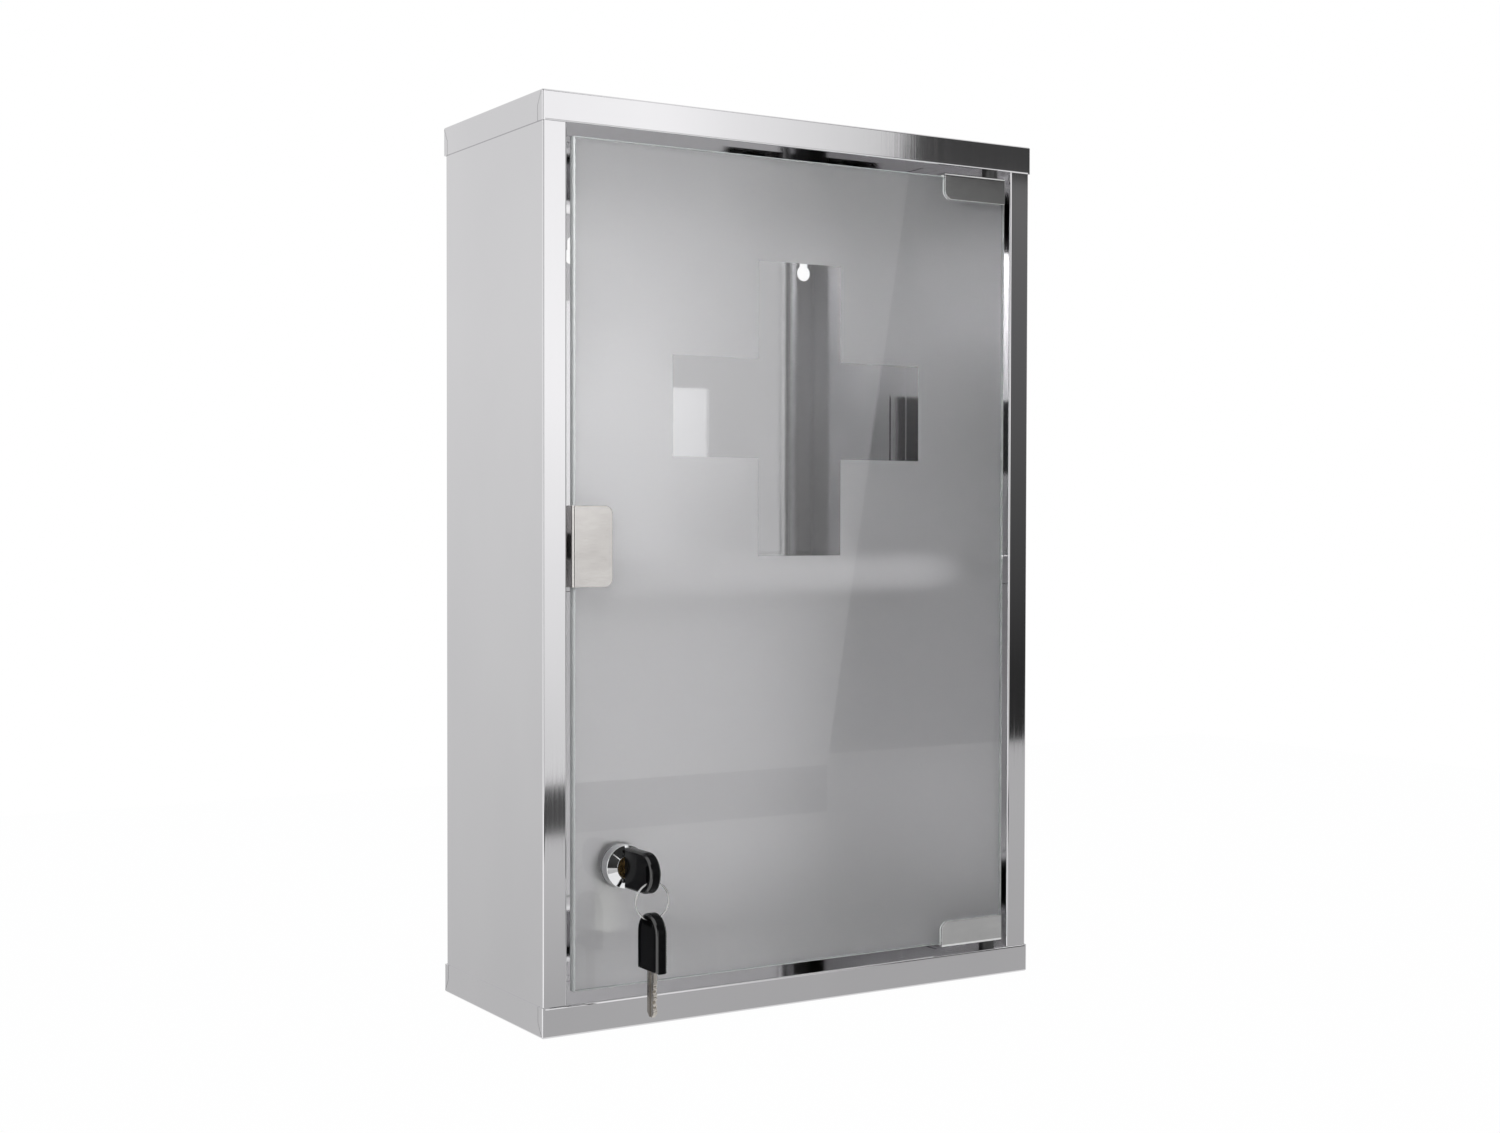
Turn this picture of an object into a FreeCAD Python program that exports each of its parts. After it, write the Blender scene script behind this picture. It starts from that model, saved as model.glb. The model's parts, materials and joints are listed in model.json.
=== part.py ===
import FreeCAD, Part
import math
import os

Vector = FreeCAD.Vector

# Wall medicine cabinet of folded stainless sheet with a frosted glass door.
# The origin lies midway between the two keyholes, on the outer face of the back panel.
# X points right, Y points into the wall, Z points up, and every size is in millimetres.

# Overshoot of every cutter past the face it cuts, and the length that counts as nothing
over = 1.0
nil = 1e-6

# Sizes of the body
width = 300.0
depth = 120.0
height = 460.0
sheet = 0.7
bend = 1.0
panel_end_gap = 3.5
cap_rim = 15.0
cap_ledge = 15.0
cap_tab = 5.0
cap_seam = 0.25
ledge_gap = 0.3
flange_width = 13.0
flange_return = 15.0
rear_flange = 12.0

# Sizes of the keyholes in the back panel
keyhole_drop = 63.0
keyhole_spacing = 150.0
keyhole_radius = 4.5
keyhole_slot = 5.5
keyhole_rise = 8.0

# Sizes of the shelf and its rests
shelf_height = 233.0
shelf_setback = 35.0
shelf_lip = 17.0
shelf_hem = 6.0
shelf_rear_lip = 12.0
shelf_gap = 0.4
rest_leg = 12.0
rest_sheet = 1.0
rest_bend = 1.5
rest_inset = 10.0

# Sizes of the glass door leaf
glass_thickness = 5.0
door_side_gap = 3.8
door_end_gap = 6.0
glass_arris = 0.6
etch_depth = 0.15
cross_span = 152.0
cross_bar = 51.0
cross_drop = 150.0

# Sizes of the clips that hold the glass
clip_liner = 0.4
clip_screw_radius = 2.0
clip_screw_stand = 1.6
clip_screw_slot = 0.7
hinge_length = 41.0
hinge_height = 14.5
hinge_metal = 1.5
hinge_bend = 2.0
hinge_inset = 1.5
hinge_corner = 5.0
hinge_screw_inset = 9.0
strike_width = 22.0
strike_length = 40.0
strike_metal = 1.2
strike_bend = 1.8
strike_corner = 4.0
strike_screw_pitch = 26.0

# Sizes of the door pivots
pivot_inset = 7.5
pivot_setback = 4.1
pin_radius = 2.0
pin_reach = 8.0
pin_chamfer = 0.5
bush_wall = 1.2
bush_flange = 4.2
bush_spigot = 3.0
running_gap = 0.05

# Sizes of the cam lock
lock_backset = 25.5
lock_height = 81.5
bezel_radius = 10.8
bezel_stand = 8.0
bezel_lip = 6.5
bezel_slope = 2.2
bezel_funnel = 0.7
gasket = 0.6
barrel_radius = 8.5
barrel_flat = 7.4
barrel_tail = 17.6
sleeve_wall = 0.7
nut_across = 22.0
nut_thickness = 3.0
nut_sides = 6
lock_washer = 0.8
lock_washer_radius = 11.5
plug_radius = 5.0
plug_sink = 1.8
tail_square = 5.5
cam_width = 14.0
cam_corner = 3.5
cam_thickness = 2.0
cam_overlap = 6.0
cam_gap = 0.2
cam_screw_radius = 1.5
cam_screw_head = 4.0
cam_screw_crown = 2.8
cam_screw_head_height = 2.2
cam_washer = 0.8
cam_washer_radius = 4.6

# Sizes of the keys and their ring
bow_length = 28.0
bow_width = 20.0
bow_thickness = 6.0
bow_edge = 1.5
bow_rim = 2.2
bow_recess = 0.5
bow_slot_length = 10.0
bow_slot_width = 4.0
bow_slot_wall = 2.2
blade_length = 22.5
blade_width = 6.5
blade_thickness = 2.0
blade_seat = 12.0
blade_groove = 0.45
blade_groove_width = 1.6
blade_tip = 2.2
blade_point = 2.2
blade_cut_pitch = 2.6
blade_cut_depths = [0.9, 1.5, 0.6, 1.2, 0.9]
keyway_gap = 0.15
keyway_wall = 1.0
key_gap = 0.6
ring_radius = 9.0
ring_wire = 0.42
hang_gap = 0.25

# Sizes of the push catch on the shelf
catch_width = 19.0
catch_height = 13.0
catch_edge = 2.0
catch_nose = 6.5
catch_contact = 0.3
catch_wall = 3.0
ear_span = 35.0
ear_width = 12.0
ear_thickness = 2.5
ear_hole_spacing = 27.0
ear_setback = 12.0
ear_corner = 4.2
catch_screw_radius = 1.5
catch_screw_head = 3.2
catch_screw_head_height = 2.0
catch_screw_reach = 5.0
plunger_radius = 4.5
plunger_length = 46.0
magnet_radius = 3.6
magnet_depth = 3.0
spring_radius = 3.2
spring_wire = 0.4
spring_length = 14.0
spring_turns = 5
coil_arcs = 4

# Planes of the body
top_z = keyhole_drop
bottom_z = top_z - height
middle_z = bottom_z + height / 2
wall_y = sheet
front_y = wall_y - depth
cap_x = width / 2
side_x = cap_x - sheet
side_in_x = side_x - sheet
flange_y = front_y + sheet
opening_x = side_x - flange_width
ledge_x = side_in_x - ledge_gap
rim_low_z = top_z - cap_rim
rim_high_z = bottom_z + cap_rim

# Planes of the shelf
shelf_z = bottom_z + shelf_height
shelf_front_y = front_y + shelf_setback
shelf_rear_y = -2 * sheet - shelf_gap
shelf_x = side_in_x - shelf_gap

# Planes of the door leaf
glass_y = flange_y
glass_rear_y = glass_y + glass_thickness
etched_y = glass_rear_y - etch_depth
glass_x = opening_x - door_side_gap
glass_low_z = rim_high_z + door_end_gap
glass_high_z = rim_low_z - door_end_gap
cross_z = top_z - cross_drop

# Axis of the door pivots and outer faces of the hinge clips
pivot_x = glass_x - pivot_inset
pivot_y = glass_y + pivot_setback
hinge_right_x = glass_x - hinge_inset
hinge_left_x = hinge_right_x - hinge_length
hinge_front_y = glass_y - clip_liner - hinge_metal
hinge_rear_y = glass_rear_y + clip_liner + hinge_metal
hinge_top_z = glass_high_z + clip_liner + hinge_metal

# Axis of the push catch, outer faces of the strike clip
catch_z = shelf_z + catch_height / 2
strike_left_x = -glass_x - clip_liner - strike_metal
strike_right_x = strike_left_x + strike_width
strike_front_y = glass_y - clip_liner - strike_metal
strike_rear_y = glass_rear_y + clip_liner + strike_metal
catch_x = (strike_left_x + strike_right_x) / 2
plunger_tip_y = strike_rear_y + catch_contact
plunger_end_y = plunger_tip_y + plunger_length
catch_front_y = plunger_tip_y + catch_nose
catch_bore_y = plunger_end_y + spring_length
catch_rear_y = catch_bore_y + catch_wall
ear_y = shelf_front_y + ear_setback
plunger_bore = plunger_radius + 2 * running_gap

# Axis and planes of the lock
lock_x = -glass_x + lock_backset
lock_z = bottom_z + lock_height
gasket_y = glass_y - gasket
bezel_y = gasket_y - bezel_stand
barrel_end_y = glass_y + barrel_tail
barrel_bore = plug_radius + running_gap
sleeve_bore = barrel_radius + running_gap
sleeve_radius = sleeve_bore + sleeve_wall
glass_bore = sleeve_radius + running_gap
lock_washer_y = glass_rear_y + lock_washer
plug_y = bezel_y + plug_sink
cam_y = barrel_end_y + cam_gap
cam_rear_y = cam_y + cam_thickness
cam_washer_y = cam_rear_y + cam_washer
cam_reach = lock_x + opening_x + sheet + cam_overlap

# Places of the keys and the ring
bow_y = bezel_y - key_gap
keyway_end_y = bow_y + blade_length + keyway_gap
ring_y = bow_y - bow_length + bow_slot_wall + bow_slot_width / 2
ring_rise = ring_radius - math.sqrt(ring_radius ** 2 - (bow_thickness / 2) ** 2)
hang = ring_wire + ring_rise + hang_gap
ring_top_z = lock_z - bow_slot_length / 2 + hang
ring_z = ring_top_z - ring_radius
ring_low_z = ring_top_z - 2 * ring_radius
spare_bow_z = ring_low_z + hang + bow_slot_wall - bow_length


def box(x_low, x_high, y_low, y_high, z_low, z_high):
    """Block between two corners."""
    return Part.makeBox(x_high - x_low, y_high - y_low, z_high - z_low, Vector(x_low, y_low, z_low))


def rod_y(x, z, radius, y_low, y_high):
    """Round bar along Y."""
    return Part.makeCylinder(radius, y_high - y_low, Vector(x, y_low, z), Vector(0, 1, 0))


def rod_z(x, y, radius, z_low, z_high):
    """Round bar along Z."""
    return Part.makeCylinder(radius, z_high - z_low, Vector(x, y, z_low), Vector(0, 0, 1))


def rounded(shape, radius, chosen):
    """Shape with each edge rounded whose box passes the test."""
    edges = [edge for edge in shape.Edges if chosen(edge.BoundBox)]
    return shape.makeFillet(radius, edges)


def along_x(edge_box):
    return edge_box.YLength + edge_box.ZLength < nil


def along_y(edge_box):
    return edge_box.XLength + edge_box.ZLength < nil


def along_z(edge_box):
    return edge_box.XLength + edge_box.YLength < nil


def plan(flat):
    """Flat point seen from above."""
    return Vector(flat.x, flat.y, 0)


def side(flat):
    """Flat point seen from the right: first Y, then Z."""
    return Vector(0, flat.x, flat.y)


def front(flat):
    """Flat point seen from the front: first X, then Z."""
    return Vector(flat.x, 0, flat.y)


def prism(points, place, run):
    """Straight-edged outline drawn on a plane and pulled along a vector."""
    corners = [place(Vector(u, v, 0)) for u, v in points]
    return Part.Face(Part.makePolygon(corners + corners[:1])).extrude(run)


def path_edges(start, bends, end, place):
    """Edges of a line with an arc at each bend."""
    edges = []
    here = start
    for first, middle, last in bends:
        edges.append(Part.LineSegment(place(here), place(first)).toShape())
        edges.append(Part.Arc(place(first), place(middle), place(last)).toShape())
        here = last
    edges.append(Part.LineSegment(place(here), place(end)).toShape())
    return edges


def folded(points, thickness, radius, place, run):
    """Sheet folded square at each inner point, lying on the inner side of its bends."""
    corners = [Vector(u, v, 0) for u, v in points]
    ways = [(last - first).normalize() for first, last in zip(corners, corners[1:])]
    turn = math.copysign(1.0, ways[0].cross(ways[1]).z)
    inward = [Vector(-way.y, way.x, 0) * turn for way in ways]
    outer = []
    inner = []
    for index, corner in enumerate(corners[1:-1]):
        first = corner - ways[index] * radius
        last = corner + ways[index + 1] * radius
        centre = first + inward[index] * radius
        middle = (corner - centre).normalize()
        outer.append((first, centre + middle * radius, last))
        inner_first = first + inward[index] * thickness
        inner_last = last + inward[index + 1] * thickness
        inner.append((inner_first, centre + middle * (radius - thickness), inner_last))
    inner_start = corners[0] + inward[0] * thickness
    inner_end = corners[-1] + inward[-1] * thickness
    edges = path_edges(corners[0], outer, corners[-1], place)
    edges += path_edges(inner_start, inner, inner_end, place)
    edges.append(Part.LineSegment(place(corners[0]), place(inner_start)).toShape())
    edges.append(Part.LineSegment(place(corners[-1]), place(inner_end)).toShape())
    return Part.Face(Part.Wire(Part.__sortEdges__(edges))).extrude(run)


def turned(points, x, z):
    """Outline of radius and Y turned about an axis along Y."""
    corners = [Vector(x + radius, y, z) for radius, y in points]
    face = Part.Face(Part.makePolygon(corners + corners[:1]))
    return face.revolve(Vector(x, 0, z), Vector(0, 1, 0), 360)


def mirrored(shape):
    """Twin of a shape on the other side of the middle plane."""
    return shape.mirror(Vector(0, 0, 0), Vector(1, 0, 0))


def upended(shape):
    """Twin of a top piece at the bottom."""
    return shape.mirror(Vector(0, 0, middle_z), Vector(0, 0, 1))


def right_side_panel():
    """Side with front flange, return and rear flange, notched where the cap ledges pass."""
    line = [
        (opening_x, flange_y + flange_return),
        (opening_x, flange_y),
        (side_x, flange_y),
        (side_x, -sheet),
        (side_x - rear_flange, -sheet),
    ]
    low_z = bottom_z + sheet + panel_end_gap
    high_z = top_z - sheet - panel_end_gap
    panel = folded(line, sheet, bend, plan, Vector(0, 0, high_z - low_z))
    panel.translate(Vector(0, 0, low_z))
    for z_low, z_high in [(low_z - over, rim_high_z), (rim_low_z, high_z + over)]:
        return_y = flange_y + flange_return + over
        flange = box(opening_x - over, side_in_x, flange_y - over, return_y, z_low, z_high)
        corner = box(side_in_x - over, side_x + over, flange_y - over, flange_y + bend, z_low, z_high)
        panel = panel.cut(flange).cut(corner)
    return panel


def keyhole(x):
    """Cutter for one hanger: a round hole for the screw head with a slot above it."""
    head = rod_y(x, 0, keyhole_radius, -2 * sheet, sheet)
    slot_end = rod_y(x, keyhole_rise, keyhole_slot / 2, -2 * sheet, sheet)
    slot = box(x - keyhole_slot / 2, x + keyhole_slot / 2, -2 * sheet, sheet, 0, keyhole_rise)
    return head.fuse([slot_end, slot])


def back_panel():
    """Flat back between the cap rims, welded to the rear flanges of the sides."""
    half = side_x - bend
    low_z = bottom_z + sheet + panel_end_gap
    high_z = top_z - sheet - panel_end_gap
    panel = box(-half, half, -sheet, 0, low_z, high_z)
    for x in (-keyhole_spacing / 2, keyhole_spacing / 2):
        panel = panel.cut(keyhole(x))
    return panel


def rounded_tray(inset, low_z, radius):
    """Block of the cap with its four corners and upper edges rounded."""
    block = box(-cap_x + inset, cap_x - inset, front_y + inset, wall_y - inset, low_z, top_z - inset)
    block = rounded(block, radius, lambda edge: along_z(edge) or edge.ZMin > top_z - inset - nil)
    return block


def corner_seam(end_y, inward):
    """Cutter for the seam beside a corner tab, slanting from the corner and then straight down."""
    half = cap_seam / 2
    start_y = end_y + inward * bend
    tab_y = end_y + inward * cap_tab
    knee_z = top_z - cap_rim / 2
    slant = [
        (start_y - half, top_z - bend),
        (start_y + half, top_z - bend),
        (tab_y + half, knee_z),
        (tab_y - half, knee_z),
    ]
    across = Vector(2 * (cap_x + over), 0, 0)
    slanted = prism(slant, side, across)
    straight = box(0, 2 * (cap_x + over), tab_y - half, tab_y + half, rim_low_z - over, knee_z)
    seam = slanted.fuse(straight)
    seam.translate(Vector(-cap_x - over, 0, 0))
    return seam


def top_cap():
    """Folded tray with a rim all round, a ledge behind the front rim and seams at the corner tabs."""
    tray = rounded_tray(0, rim_low_z, bend).cut(rounded_tray(sheet, rim_low_z - over, bend - sheet))
    fold_z = rim_low_z + 2 * bend
    tray = tray.cut(box(-ledge_x, ledge_x, front_y - over, front_y + 2 * sheet, rim_low_z - over, fold_z))
    line = [(front_y + cap_ledge, rim_low_z), (front_y, rim_low_z), (front_y, fold_z)]
    ledge = folded(line, sheet, bend, side, Vector(2 * ledge_x, 0, 0))
    ledge.translate(Vector(-ledge_x, 0, 0))
    cap = tray.fuse(ledge).removeSplitter()
    core = box(-side_in_x, side_in_x, front_y - over, wall_y + over, rim_low_z - over, top_z + over)
    for seam in (corner_seam(front_y, 1), corner_seam(wall_y, -1)):
        cap = cap.cut(seam.cut(core))
    spigot_hole = pin_radius + running_gap + bush_wall + running_gap
    return cap.cut(rod_z(pivot_x, pivot_y, spigot_hole, rim_low_z - over, rim_low_z + 2 * sheet))


def shelf():
    """Shelf with a hemmed front lip and a rear lip, drilled for the catch screws."""
    line = [
        (shelf_front_y + shelf_hem, shelf_z - shelf_lip),
        (shelf_front_y, shelf_z - shelf_lip),
        (shelf_front_y, shelf_z),
        (shelf_rear_y, shelf_z),
        (shelf_rear_y, shelf_z - shelf_rear_lip),
    ]
    board = folded(line, sheet, bend, side, Vector(2 * shelf_x, 0, 0))
    board.translate(Vector(-shelf_x, 0, 0))
    hole = catch_screw_radius + running_gap
    for x in ear_hole_places():
        board = board.cut(rod_z(x, ear_y, hole, shelf_z - 2 * sheet, shelf_z + over))
    return board


def right_shelf_rest():
    """Angle on the side panel that carries the end of the shelf, behind the catch screws."""
    rest_z = shelf_z - sheet
    line = [(side_in_x - rest_leg, rest_z), (side_in_x, rest_z), (side_in_x, rest_z - rest_leg)]
    start_y = ear_y + ear_width / 2
    rest = folded(line, rest_sheet, rest_bend, front, Vector(0, shelf_rear_y - rest_inset - start_y, 0))
    rest.translate(Vector(0, start_y, 0))
    return rest


def door_glass():
    """Leaf with ground edges, lock hole, and an etched rear face that leaves a clear cross."""
    leaf = box(-glass_x, glass_x, glass_y, glass_rear_y, glass_low_z, glass_high_z)
    rims = [edge for edge in leaf.Edges if not along_y(edge.BoundBox)]
    leaf = leaf.makeChamfer(glass_arris, rims)
    etched = box(-glass_x, glass_x, etched_y, glass_rear_y + over, glass_low_z, glass_high_z)
    arm = cross_span / 2
    bar = cross_bar / 2
    upright = box(-bar, bar, etched_y, glass_rear_y + over, cross_z - arm, cross_z + arm)
    level = box(-arm, arm, etched_y, glass_rear_y + over, cross_z - bar, cross_z + bar)
    leaf = leaf.cut(etched.cut(upright.fuse(level)))
    return leaf.cut(rod_y(lock_x, lock_z, glass_bore, glass_y - over, glass_rear_y + over))


def hinge_screw_places():
    return (hinge_left_x + hinge_screw_inset, hinge_right_x - hinge_screw_inset)


def hinge_outline(y_low, y_high):
    """Front outline of a hinge clip with its free corner rounded."""
    low_z = hinge_top_z - hinge_height
    block = box(hinge_left_x, hinge_right_x, y_low, y_high, low_z, hinge_top_z + over)

    def free_corner(edge):
        return along_y(edge) and edge.XMax < pivot_x and edge.ZMax < hinge_top_z

    return rounded(block, hinge_corner, free_corner)


def top_hinge_clip():
    """Channel over the edge of the glass, holed for the pivot pin and the clamp screws."""
    low_z = hinge_top_z - hinge_height
    line = [
        (hinge_front_y, low_z),
        (hinge_front_y, hinge_top_z),
        (hinge_rear_y, hinge_top_z),
        (hinge_rear_y, low_z),
    ]
    clip = folded(line, hinge_metal, hinge_bend, side, Vector(hinge_length, 0, 0))
    clip.translate(Vector(hinge_left_x, 0, 0))
    clip = clip.common(hinge_outline(hinge_front_y - over, hinge_rear_y + over))
    hole = pin_radius + running_gap
    clip = clip.cut(rod_z(pivot_x, pivot_y, hole, glass_high_z, hinge_top_z + over))
    for x in hinge_screw_places():
        clip = clip.cut(clamp_hole(x, hinge_top_z - hinge_height / 2, hinge_metal, hinge_rear_y))
    return clip


def top_hinge_liner():
    """Soft strip between the hinge clip and the glass."""
    front_in_y = hinge_front_y + hinge_metal
    rear_in_y = hinge_rear_y - hinge_metal
    low_z = hinge_top_z - hinge_height
    over_z = glass_high_z + clip_liner
    strip = box(hinge_left_x, hinge_right_x, front_in_y, rear_in_y, low_z, over_z)
    strip = strip.cut(box(-glass_x, glass_x, glass_y, glass_rear_y, glass_low_z, glass_high_z))

    def top_edge(edge):
        return along_x(edge) and edge.ZMin > over_z - nil

    strip = rounded(strip, hinge_bend - hinge_metal, top_edge)
    return strip.common(hinge_outline(front_in_y - over, rear_in_y + over))


def clamp_hole(x, z, metal, outer_y):
    """Cutter for a clamp screw in the rear plate of a clip."""
    return rod_y(x, z, clip_screw_radius + running_gap, outer_y - metal - running_gap, outer_y + over)


def clamp_screw(x, z, metal, outer_y):
    """Slotted clamp screw that bears on the liner."""
    start_y = outer_y - metal
    end_y = outer_y + clip_screw_stand
    screw = rod_y(x, z, clip_screw_radius, start_y, end_y)
    half = clip_screw_slot / 2
    reach = clip_screw_radius + over
    slot_y = end_y - clip_screw_stand / 2
    return screw.cut(box(x - half, x + half, slot_y, end_y + over, z - reach, z + reach))


def hinge_clamp_screws():
    """Clamp screws of both hinge clips."""
    z = hinge_top_z - hinge_height / 2
    upper = [clamp_screw(x, z, hinge_metal, hinge_rear_y) for x in hinge_screw_places()]
    lower = [upended(screw) for screw in upper]
    return Part.makeCompound(upper + lower)


def top_pivot_pin():
    """Pin that stands on the web of the hinge clip and turns in the bush."""
    pin = rod_z(pivot_x, pivot_y, pin_radius, hinge_top_z - hinge_metal, hinge_top_z + pin_reach)
    rims = [edge for edge in pin.Edges if edge.BoundBox.ZMin > hinge_top_z]
    return pin.makeChamfer(pin_chamfer, rims)


def top_pivot_bush():
    """Flanged bush in the cap ledge, its flange filling the gap above the hinge clip."""
    flange_z = hinge_top_z + 2 * running_gap
    spigot_z = rim_low_z + sheet + bush_spigot
    bore = pin_radius + running_gap
    bush = rod_z(pivot_x, pivot_y, bush_flange, flange_z, rim_low_z)
    bush = bush.fuse(rod_z(pivot_x, pivot_y, bore + bush_wall, flange_z, spigot_z))
    bush = bush.cut(rod_z(pivot_x, pivot_y, bore, flange_z - over, spigot_z + over))
    return bush.removeSplitter()


def strike_screw_places():
    return (catch_z - strike_screw_pitch / 2, catch_z + strike_screw_pitch / 2)


def strike_outline(y_low, y_high):
    """Front outline of the strike clip with its free corners rounded."""
    half = strike_length / 2
    block = box(strike_left_x - over, strike_right_x, y_low, y_high, catch_z - half, catch_z + half)
    return rounded(block, strike_corner, lambda edge: along_y(edge) and edge.XMin > catch_x)


def strike_clip():
    """Channel over the free edge of the glass that the catch pulls on."""
    line = [
        (strike_right_x, strike_front_y),
        (strike_left_x, strike_front_y),
        (strike_left_x, strike_rear_y),
        (strike_right_x, strike_rear_y),
    ]
    clip = folded(line, strike_metal, strike_bend, plan, Vector(0, 0, strike_length))
    clip.translate(Vector(0, 0, catch_z - strike_length / 2))
    clip = clip.common(strike_outline(strike_front_y - over, strike_rear_y + over))
    for z in strike_screw_places():
        clip = clip.cut(clamp_hole(catch_x, z, strike_metal, strike_rear_y))
    return clip


def strike_clip_liner():
    """Soft strip between the strike clip and the glass."""
    front_in_y = strike_front_y + strike_metal
    rear_in_y = strike_rear_y - strike_metal
    left_x = strike_left_x + strike_metal
    half = strike_length / 2
    strip = box(left_x, strike_right_x, front_in_y, rear_in_y, catch_z - half, catch_z + half)
    low_z = catch_z - strike_length
    high_z = catch_z + strike_length
    strip = strip.cut(box(-glass_x, glass_x, glass_y, glass_rear_y, low_z, high_z))

    def left_edge(edge):
        return along_z(edge) and edge.XMax < left_x + nil

    strip = rounded(strip, strike_bend - strike_metal, left_edge)
    return strip.common(strike_outline(front_in_y - over, rear_in_y + over))


def strike_clamp_screws():
    """Clamp screws of the strike clip, above and below the catch."""
    screws = [clamp_screw(catch_x, z, strike_metal, strike_rear_y) for z in strike_screw_places()]
    return Part.makeCompound(screws)


def lock_barrel():
    """Bezel with a sloping face and a funnel, on a bored body with two flats that passes the glass."""
    outline = [
        (barrel_bore, plug_y),
        (barrel_bore + bezel_funnel, bezel_y),
        (bezel_lip, bezel_y),
        (bezel_radius, bezel_y + bezel_slope),
        (bezel_radius, gasket_y),
        (barrel_radius, gasket_y),
        (barrel_radius, barrel_end_y),
        (barrel_bore, barrel_end_y),
    ]
    barrel = turned(outline, lock_x, lock_z)
    low_z = lock_z - bezel_radius
    high_z = lock_z + bezel_radius
    for low_x in (lock_x - 2 * barrel_radius, lock_x + barrel_flat):
        high_x = low_x + 2 * barrel_radius - barrel_flat
        barrel = barrel.cut(box(low_x, high_x, lock_washer_y, barrel_end_y + over, low_z, high_z))
    return barrel


def lock_ring(bore, radius, y_low, y_high):
    """Plain ring round the lock axis."""
    return turned([(bore, y_low), (radius, y_low), (radius, y_high), (bore, y_high)], lock_x, lock_z)


def lock_nut():
    """Six-sided nut on the barrel."""
    reach = nut_across / 2 / math.cos(math.pi / nut_sides)
    corners = []
    for step in range(nut_sides):
        angle = 2 * math.pi * step / nut_sides
        corners.append((lock_x + reach * math.cos(angle), lock_z + reach * math.sin(angle)))
    nut = prism(corners, front, Vector(0, nut_thickness, 0))
    nut.translate(Vector(0, lock_washer_y, 0))
    end_y = lock_washer_y + nut_thickness
    return nut.cut(rod_y(lock_x, lock_z, sleeve_bore, lock_washer_y - over, end_y + over))


def lock_block(half_x, half_z, y_low, y_high):
    """Block centred on the lock axis."""
    return box(lock_x - half_x, lock_x + half_x, y_low, y_high, lock_z - half_z, lock_z + half_z)


def lock_plug():
    """Plug with the keyway in front and a square, tapped tail for the cam."""
    plug = rod_y(lock_x, lock_z, plug_radius, plug_y, barrel_end_y + cam_gap / 2)
    plug = plug.fuse(lock_block(tail_square / 2, tail_square / 2, barrel_end_y, cam_rear_y))
    across = blade_thickness / 2 + keyway_gap
    tall = blade_width / 2 + keyway_gap
    keyway = lock_block(across, tall, plug_y - over, keyway_end_y)
    tap = cam_screw_radius + running_gap
    tapped = rod_y(lock_x, lock_z, tap, keyway_end_y + keyway_wall, cam_rear_y + over)
    return plug.cut(keyway).cut(tapped).removeSplitter()


def lock_cam():
    """Flat cam with a round end and a square eye, hanging down when unlocked."""
    half = cam_width / 2
    hub = rod_y(lock_x, lock_z, half, cam_y, cam_rear_y)
    arm = box(lock_x - half, lock_x + half, cam_y, cam_rear_y, lock_z - cam_reach, lock_z)
    arm = rounded(arm, cam_corner, lambda edge: along_y(edge) and edge.ZMax < lock_z - over)
    eye = tail_square / 2 + running_gap
    square = lock_block(eye, eye, cam_y - over, cam_rear_y + over)
    return hub.fuse(arm).cut(square).removeSplitter()


def cam_screw():
    """Slotted screw that holds the cam on the plug's tail."""
    head_y = cam_washer_y + cam_screw_head_height
    outline = [
        (0, keyway_end_y + keyway_wall + running_gap),
        (cam_screw_radius, keyway_end_y + keyway_wall + running_gap),
        (cam_screw_radius, cam_washer_y),
        (cam_screw_head, cam_washer_y),
        (cam_screw_head, cam_washer_y + cam_screw_head_height / 2),
        (cam_screw_crown, head_y),
        (0, head_y),
    ]
    screw = turned(outline, lock_x, lock_z)
    half = clip_screw_slot / 2
    slot_y = head_y - cam_screw_head_height / 2
    reach = cam_screw_head + over
    return screw.cut(lock_block(reach, half, slot_y, head_y + over))


def arch(half, end_y, round_y, x_low, x_high):
    """Block with a flat end, straight sides and a round end towards -Y."""
    centre_y = round_y + half
    corners = [
        Vector(x_low, end_y, -half),
        Vector(x_low, centre_y, -half),
        Vector(x_low, round_y, 0),
        Vector(x_low, centre_y, half),
        Vector(x_low, end_y, half),
    ]
    edges = [
        Part.LineSegment(corners[0], corners[1]).toShape(),
        Part.Arc(corners[1], corners[2], corners[3]).toShape(),
        Part.LineSegment(corners[3], corners[4]).toShape(),
        Part.LineSegment(corners[4], corners[0]).toShape(),
    ]
    return Part.Face(Part.Wire(edges)).extrude(Vector(x_high - x_low, 0, 0))


def bow_blank():
    """Arch-shaped bow with a raised rim on each face, its flat end at the origin."""
    face_x = bow_thickness / 2
    blank = arch(bow_width / 2, 0, -bow_length, -face_x, face_x)
    blank = rounded(blank, bow_edge, lambda edge: edge.XLength < nil)
    floor_x = face_x - bow_recess
    for x_low, x_high in ((-face_x - over, -floor_x), (floor_x, face_x + over)):
        blank = blank.cut(arch(bow_width / 2 - bow_rim, over, bow_rim - bow_length, x_low, x_high))
    return blank


def bow_slot():
    """Cutter for the ring slot across the round end of a bow."""
    half = bow_slot_width / 2
    y = -bow_length + bow_slot_wall + half
    end_z = bow_slot_length / 2 - half
    reach = bow_thickness
    slot = box(-reach, reach, y - half, y + half, -end_z, end_z)
    for z in (-end_z, end_z):
        slot = slot.fuse(Part.makeCylinder(half, 2 * reach, Vector(-reach, y, z), Vector(1, 0, 0)))
    return slot


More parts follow.
